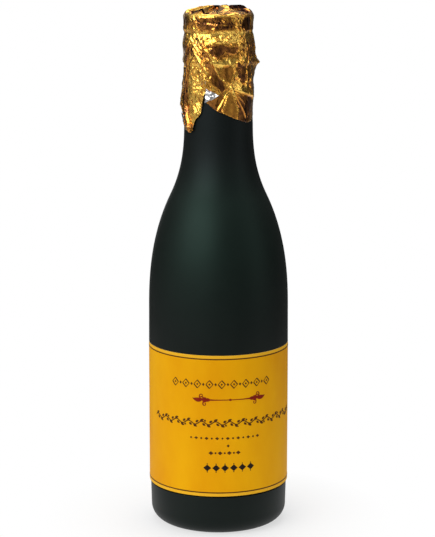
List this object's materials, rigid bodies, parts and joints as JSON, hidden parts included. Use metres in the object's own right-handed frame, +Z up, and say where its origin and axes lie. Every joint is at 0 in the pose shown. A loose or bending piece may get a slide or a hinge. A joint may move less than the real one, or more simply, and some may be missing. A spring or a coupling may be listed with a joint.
{
  "type": "confetti popper bottle",
  "caption": "Champagne-shaped confetti popper: foiled neck, wrap label and a twist base that opens an air valve and drives a wad and confetti up the barrel.",
  "frame": {"origin": "on the bottle's axis, in the plane of the foot", "axes": "+Z up the bottle's axis to the mouth; -Y through the middle of the label; +X to the right of the label as it is read"},
  "size_m": [0.0862, 0.0863, 0.3202],
  "materials": {
    "bottle_plastic": "very dark green, satin",
    "label_paper": "orange-yellow, printed, soft sheen",
    "gold_foil": "gold lacquered foil, crumpled",
    "kraft_board": "spiral-wound kraft board",
    "white_board": "thin white board",
    "black_plastic": "moulded black",
    "grey_plastic": "moulded grey",
    "clear_plastic": "milky clear",
    "seal_rubber": "black",
    "spring_steel": "plain wire",
    "fastener_steel": "zinc plated",
    "valve_brass": "turned",
    "wad_felt": "pressed felt",
    "tissue_red": "cut tissue, stacked",
    "tissue_yellow": "cut tissue, stacked",
    "tissue_blue": "cut tissue, stacked",
    "tissue_green": "cut tissue, stacked"
  },
  "bodies": {
    "bottle": {"bottle_shell": "bottle_plastic", "wrap_label": "label_paper", "neck_foil": "gold_foil", "closure_disc": "white_board", "barrel_tube": "kraft_board", "deck": "black_plastic", "deck_circlip": "spring_steel", "base_retaining_ring": "spring_steel", "cylinder_foot": "grey_plastic", "fill_grommet": "seal_rubber", "cylinder_tube": "clear_plastic", "cylinder_head": "grey_plastic", "tie_bolt_1": "fastener_steel", "tie_bolt_2": "fastener_steel", "tie_bolt_3": "fastener_steel", "tie_bolt_4": "fastener_steel", "tie_nut_1": "fastener_steel", "tie_nut_2": "fastener_steel", "tie_nut_3": "fastener_steel", "tie_nut_4": "fastener_steel", "stem_seal": "seal_rubber", "foot_seal": "seal_rubber", "head_seal": "seal_rubber", "valve_spring": "spring_steel"},
    "base": {"base_cup": "bottle_plastic", "cam_ring": "grey_plastic", "cam_screw_1": "fastener_steel", "cam_screw_2": "fastener_steel", "cam_screw_3": "fastener_steel"},
    "valve": {"valve_stem": "valve_brass", "poppet_seal": "seal_rubber", "yoke": "grey_plastic", "stem_nut": "valve_brass"},
    "shot": {"obturator": "black_plastic", "felt_wad": "wad_felt", "confetti_charge_1": "tissue_red", "confetti_charge_2": "tissue_yellow", "confetti_charge_3": "tissue_blue", "confetti_charge_4": "tissue_green"}
  },
  "joints": [
    {"name": "base_twist", "type": "hinge", "parent": "bottle", "child": "base", "pos_m": [0, 0, 0], "axis": [0, 0, 1], "range_deg": [0, 60]},
    {"name": "valve_pull", "type": "slide", "parent": "bottle", "child": "valve", "axis": [0, 0, -1], "range_m": [0, 0.004], "deforming": ["valve_spring"]},
    {"name": "shot_slide", "type": "slide", "parent": "bottle", "child": "shot", "axis": [0, 0, 1], "range_m": [0, 0.085]}
  ],
  "couplings": [
    {"joint": "valve_pull", "follows": "base_twist", "m_per_rad": 0.00381}
  ]
}
